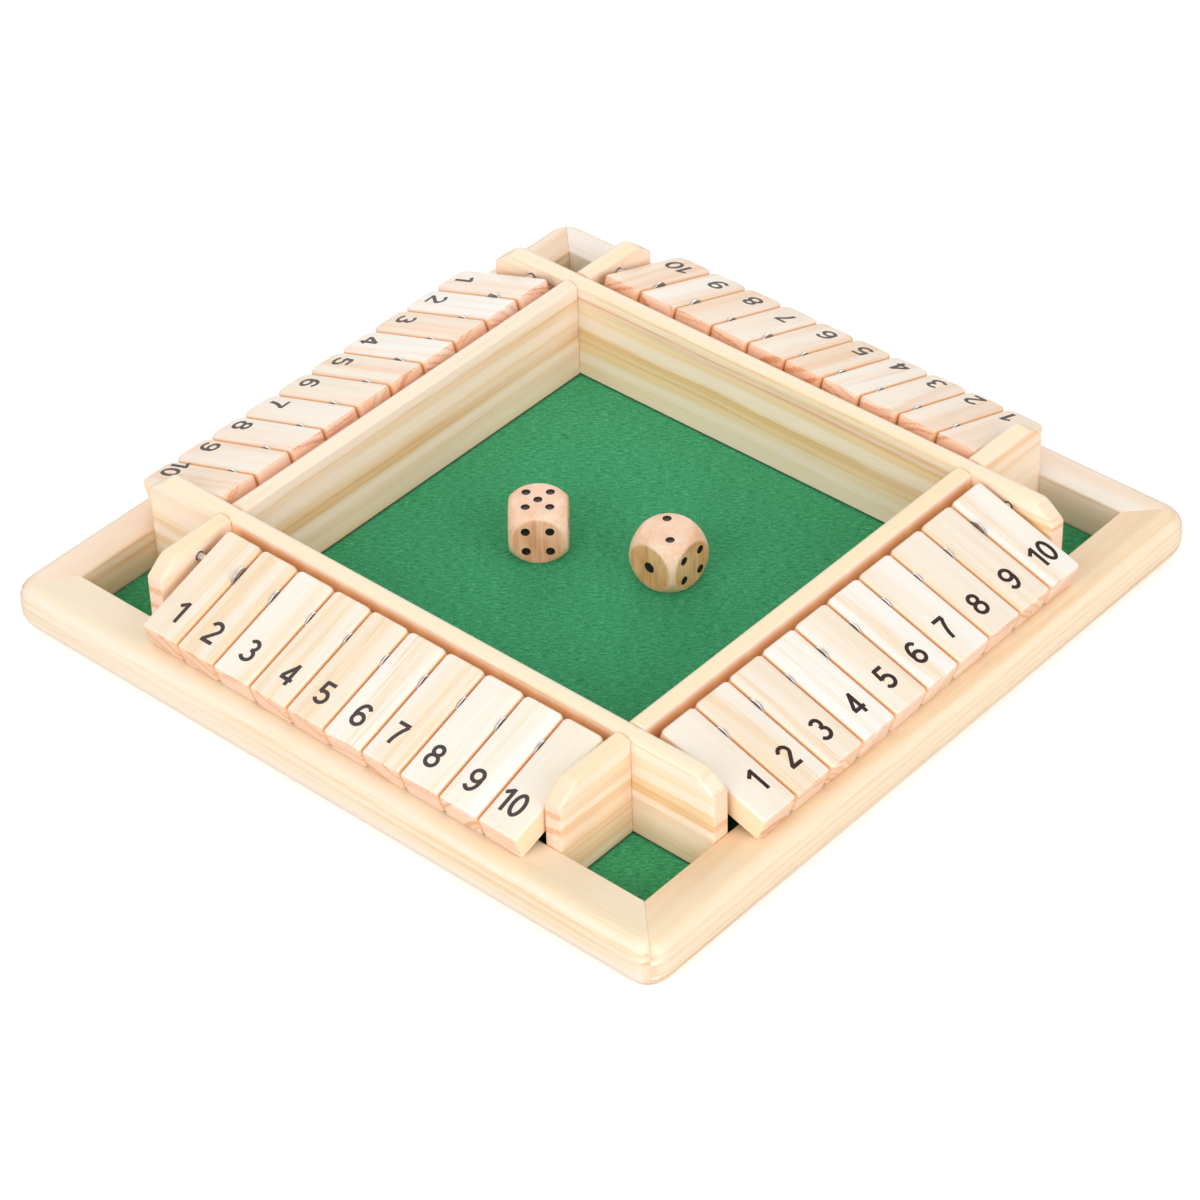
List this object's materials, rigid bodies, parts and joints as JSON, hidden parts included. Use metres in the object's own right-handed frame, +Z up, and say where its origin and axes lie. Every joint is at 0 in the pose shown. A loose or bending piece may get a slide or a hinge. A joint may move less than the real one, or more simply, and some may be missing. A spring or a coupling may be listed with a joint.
{
  "type": "shut the box game",
  "caption": "Square wooden dice game for several players: a felt-lined tray in a rounded frame, with a row of numbered flip tiles on a steel rod along each side, and two dice.",
  "frame": {"origin": "middle of the underside of the square frame, on the surface that it stands on", "axes": "+Z up; the inner walls run along X and Y, the two long walls along X; the front row of tiles is at -Y and counts up towards +X"},
  "size_m": [0.229, 0.229, 0.0354],
  "materials": {
    "pine_frame": "sanded pine, clear satin lacquer",
    "pine_wall": "sanded pine, clear satin lacquer",
    "pine_tile": "sanded pale pine, printed digits",
    "plywood": "bare sanded plywood",
    "green_felt": "needled wool felt",
    "steel": "drawn and pressed, plain",
    "dice_wood": "turned hardwood, oiled, black pips"
  },
  "bodies": {
    "frame": {"rail_front": "pine_frame", "rail_right": "pine_frame", "rail_back": "pine_frame", "rail_left": "pine_frame", "base_board": "plywood", "felt_lining": "green_felt", "long_wall_front": "pine_wall", "long_wall_back": "pine_wall", "short_wall_right": "pine_wall", "short_wall_left": "pine_wall", "stub_front_left": "pine_wall", "stub_front_right": "pine_wall", "stub_back_left": "pine_wall", "stub_back_right": "pine_wall", "pivot_rods": "steel", "spacer_washers": "steel", "base_brads": "steel"},
    "die_left": {"die_left": "dice_wood"},
    "die_right": {"die_right": "dice_wood"},
    "tile_front_1": {"tile_front_1": "pine_tile"},
    "tile_front_2": {"tile_front_2": "pine_tile"},
    "tile_front_3": {"tile_front_3": "pine_tile"},
    "tile_front_4": {"tile_front_4": "pine_tile"},
    "tile_front_5": {"tile_front_5": "pine_tile"},
    "tile_front_6": {"tile_front_6": "pine_tile"},
    "tile_front_7": {"tile_front_7": "pine_tile"},
    "tile_front_8": {"tile_front_8": "pine_tile"},
    "tile_front_9": {"tile_front_9": "pine_tile"},
    "tile_front_10": {"tile_front_10": "pine_tile"},
    "tile_right_1": {"tile_right_1": "pine_tile"},
    "tile_right_2": {"tile_right_2": "pine_tile"},
    "tile_right_3": {"tile_right_3": "pine_tile"},
    "tile_right_4": {"tile_right_4": "pine_tile"},
    "tile_right_5": {"tile_right_5": "pine_tile"},
    "tile_right_6": {"tile_right_6": "pine_tile"},
    "tile_right_7": {"tile_right_7": "pine_tile"},
    "tile_right_8": {"tile_right_8": "pine_tile"},
    "tile_right_9": {"tile_right_9": "pine_tile"},
    "tile_right_10": {"tile_right_10": "pine_tile"},
    "tile_back_1": {"tile_back_1": "pine_tile"},
    "tile_back_2": {"tile_back_2": "pine_tile"},
    "tile_back_3": {"tile_back_3": "pine_tile"},
    "tile_back_4": {"tile_back_4": "pine_tile"},
    "tile_back_5": {"tile_back_5": "pine_tile"},
    "tile_back_6": {"tile_back_6": "pine_tile"},
    "tile_back_7": {"tile_back_7": "pine_tile"},
    "tile_back_8": {"tile_back_8": "pine_tile"},
    "tile_back_9": {"tile_back_9": "pine_tile"},
    "tile_back_10": {"tile_back_10": "pine_tile"},
    "tile_left_1": {"tile_left_1": "pine_tile"},
    "tile_left_2": {"tile_left_2": "pine_tile"},
    "tile_left_3": {"tile_left_3": "pine_tile"},
    "tile_left_4": {"tile_left_4": "pine_tile"},
    "tile_left_5": {"tile_left_5": "pine_tile"},
    "tile_left_6": {"tile_left_6": "pine_tile"},
    "tile_left_7": {"tile_left_7": "pine_tile"},
    "tile_left_8": {"tile_left_8": "pine_tile"},
    "tile_left_9": {"tile_left_9": "pine_tile"},
    "tile_left_10": {"tile_left_10": "pine_tile"}
  },
  "joints": [
    {"name": "flip_front_1", "type": "hinge", "parent": "frame", "child": "tile_front_1", "pos_m": [-0.0589, -0.08545, 0.0303], "axis": [-1, 0, 0], "range_deg": [0, 148.6]},
    {"name": "flip_front_2", "type": "hinge", "parent": "frame", "child": "tile_front_2", "pos_m": [-0.04559, -0.08545, 0.0303], "axis": [-1, 0, 0], "range_deg": [0, 170.8]},
    {"name": "flip_front_3", "type": "hinge", "parent": "frame", "child": "tile_front_3", "pos_m": [-0.03227, -0.08545, 0.0303], "axis": [-1, 0, 0], "range_deg": [0, 170.8]},
    {"name": "flip_front_4", "type": "hinge", "parent": "frame", "child": "tile_front_4", "pos_m": [-0.01896, -0.08545, 0.0303], "axis": [-1, 0, 0], "range_deg": [0, 170.8]},
    {"name": "flip_front_5", "type": "hinge", "parent": "frame", "child": "tile_front_5", "pos_m": [-0.00566, -0.08545, 0.0303], "axis": [-1, 0, 0], "range_deg": [0, 170.8]},
    {"name": "flip_front_6", "type": "hinge", "parent": "frame", "child": "tile_front_6", "pos_m": [0.00766, -0.08545, 0.0303], "axis": [-1, 0, 0], "range_deg": [0, 170.8]},
    {"name": "flip_front_7", "type": "hinge", "parent": "frame", "child": "tile_front_7", "pos_m": [0.02097, -0.08545, 0.0303], "axis": [-1, 0, 0], "range_deg": [0, 170.8]},
    {"name": "flip_front_8", "type": "hinge", "parent": "frame", "child": "tile_front_8", "pos_m": [0.03427, -0.08545, 0.0303], "axis": [-1, 0, 0], "range_deg": [0, 170.8]},
    {"name": "flip_front_9", "type": "hinge", "parent": "frame", "child": "tile_front_9", "pos_m": [0.04759, -0.08545, 0.0303], "axis": [-1, 0, 0], "range_deg": [0, 170.8]},
    {"name": "flip_front_10", "type": "hinge", "parent": "frame", "child": "tile_front_10", "pos_m": [0.06089, -0.08545, 0.0303], "axis": [-1, 0, 0], "range_deg": [0, 170.8]},
    {"name": "flip_right_1", "type": "hinge", "parent": "frame", "child": "tile_right_1", "pos_m": [0.08545, -0.0596, 0.0303], "axis": [0, -1, 0], "range_deg": [0, 148.6]},
    {"name": "flip_right_2", "type": "hinge", "parent": "frame", "child": "tile_right_2", "pos_m": [0.08545, -0.04628, 0.0303], "axis": [0, -1, 0], "range_deg": [0, 170.8]},
    {"name": "flip_right_3", "type": "hinge", "parent": "frame", "child": "tile_right_3", "pos_m": [0.08545, -0.03297, 0.0303], "axis": [0, -1, 0], "range_deg": [0, 170.8]},
    {"name": "flip_right_4", "type": "hinge", "parent": "frame", "child": "tile_right_4", "pos_m": [0.08545, -0.01966, 0.0303], "axis": [0, -1, 0], "range_deg": [0, 170.8]},
    {"name": "flip_right_5", "type": "hinge", "parent": "frame", "child": "tile_right_5", "pos_m": [0.08545, -0.00636, 0.0303], "axis": [0, -1, 0], "range_deg": [0, 170.8]},
    {"name": "flip_right_6", "type": "hinge", "parent": "frame", "child": "tile_right_6", "pos_m": [0.08545, 0.00696, 0.0303], "axis": [0, -1, 0], "range_deg": [0, 170.8]},
    {"name": "flip_right_7", "type": "hinge", "parent": "frame", "child": "tile_right_7", "pos_m": [0.08545, 0.02026, 0.0303], "axis": [0, -1, 0], "range_deg": [0, 170.8]},
    {"name": "flip_right_8", "type": "hinge", "parent": "frame", "child": "tile_right_8", "pos_m": [0.08545, 0.03358, 0.0303], "axis": [0, -1, 0], "range_deg": [0, 170.8]},
    {"name": "flip_right_9", "type": "hinge", "parent": "frame", "child": "tile_right_9", "pos_m": [0.08545, 0.04689, 0.0303], "axis": [0, -1, 0], "range_deg": [0, 170.8]},
    {"name": "flip_right_10", "type": "hinge", "parent": "frame", "child": "tile_right_10", "pos_m": [0.08545, 0.06019, 0.0303], "axis": [0, -1, 0], "range_deg": [0, 170.8]},
    {"name": "flip_back_1", "type": "hinge", "parent": "frame", "child": "tile_back_1", "pos_m": [0.0608, 0.08545, 0.0303], "axis": [1, 0, 0], "range_deg": [0, 148.6]},
    {"name": "flip_back_2", "type": "hinge", "parent": "frame", "child": "tile_back_2", "pos_m": [0.04748, 0.08545, 0.0303], "axis": [1, 0, 0], "range_deg": [0, 170.8]},
    {"name": "flip_back_3", "type": "hinge", "parent": "frame", "child": "tile_back_3", "pos_m": [0.03417, 0.08545, 0.0303], "axis": [1, 0, 0], "range_deg": [0, 170.8]},
    {"name": "flip_back_4", "type": "hinge", "parent": "frame", "child": "tile_back_4", "pos_m": [0.02087, 0.08545, 0.0303], "axis": [1, 0, 0], "range_deg": [0, 170.8]},
    {"name": "flip_back_5", "type": "hinge", "parent": "frame", "child": "tile_back_5", "pos_m": [0.00756, 0.08545, 0.0303], "axis": [1, 0, 0], "range_deg": [0, 170.8]},
    {"name": "flip_back_6", "type": "hinge", "parent": "frame", "child": "tile_back_6", "pos_m": [-0.00575, 0.08545, 0.0303], "axis": [1, 0, 0], "range_deg": [0, 170.8]},
    {"name": "flip_back_7", "type": "hinge", "parent": "frame", "child": "tile_back_7", "pos_m": [-0.01906, 0.08545, 0.0303], "axis": [1, 0, 0], "range_deg": [0, 170.8]},
    {"name": "flip_back_8", "type": "hinge", "parent": "frame", "child": "tile_back_8", "pos_m": [-0.03238, 0.08545, 0.0303], "axis": [1, 0, 0], "range_deg": [0, 170.8]},
    {"name": "flip_back_9", "type": "hinge", "parent": "frame", "child": "tile_back_9", "pos_m": [-0.04569, 0.08545, 0.0303], "axis": [1, 0, 0], "range_deg": [0, 170.8]},
    {"name": "flip_back_10", "type": "hinge", "parent": "frame", "child": "tile_back_10", "pos_m": [-0.05899, 0.08545, 0.0303], "axis": [1, 0, 0], "range_deg": [0, 170.8]},
    {"name": "flip_left_1", "type": "hinge", "parent": "frame", "child": "tile_left_1", "pos_m": [-0.08545, 0.0586, 0.0303], "axis": [0, 1, 0], "range_deg": [0, 148.6]},
    {"name": "flip_left_2", "type": "hinge", "parent": "frame", "child": "tile_left_2", "pos_m": [-0.08545, 0.04528, 0.0303], "axis": [0, 1, 0], "range_deg": [0, 170.8]},
    {"name": "flip_left_3", "type": "hinge", "parent": "frame", "child": "tile_left_3", "pos_m": [-0.08545, 0.03198, 0.0303], "axis": [0, 1, 0], "range_deg": [0, 170.8]},
    {"name": "flip_left_4", "type": "hinge", "parent": "frame", "child": "tile_left_4", "pos_m": [-0.08545, 0.01867, 0.0303], "axis": [0, 1, 0], "range_deg": [0, 170.8]},
    {"name": "flip_left_5", "type": "hinge", "parent": "frame", "child": "tile_left_5", "pos_m": [-0.08545, 0.00536, 0.0303], "axis": [0, 1, 0], "range_deg": [0, 170.8]},
    {"name": "flip_left_6", "type": "hinge", "parent": "frame", "child": "tile_left_6", "pos_m": [-0.08545, -0.00796, 0.0303], "axis": [0, 1, 0], "range_deg": [0, 170.8]},
    {"name": "flip_left_7", "type": "hinge", "parent": "frame", "child": "tile_left_7", "pos_m": [-0.08545, -0.02126, 0.0303], "axis": [0, 1, 0], "range_deg": [0, 170.8]},
    {"name": "flip_left_8", "type": "hinge", "parent": "frame", "child": "tile_left_8", "pos_m": [-0.08545, -0.03458, 0.0303], "axis": [0, 1, 0], "range_deg": [0, 170.8]},
    {"name": "flip_left_9", "type": "hinge", "parent": "frame", "child": "tile_left_9", "pos_m": [-0.08545, -0.04788, 0.0303], "axis": [0, 1, 0], "range_deg": [0, 170.8]},
    {"name": "flip_left_10", "type": "hinge", "parent": "frame", "child": "tile_left_10", "pos_m": [-0.08545, -0.06119, 0.0303], "axis": [0, 1, 0], "range_deg": [0, 170.8]},
    {"name": "lift_die_left", "type": "slide", "parent": "frame", "child": "die_left", "axis": [0, 0, 1], "range_m": [0, 0.06]},
    {"name": "lift_die_right", "type": "slide", "parent": "frame", "child": "die_right", "axis": [0, 0, 1], "range_m": [0, 0.06]}
  ]
}
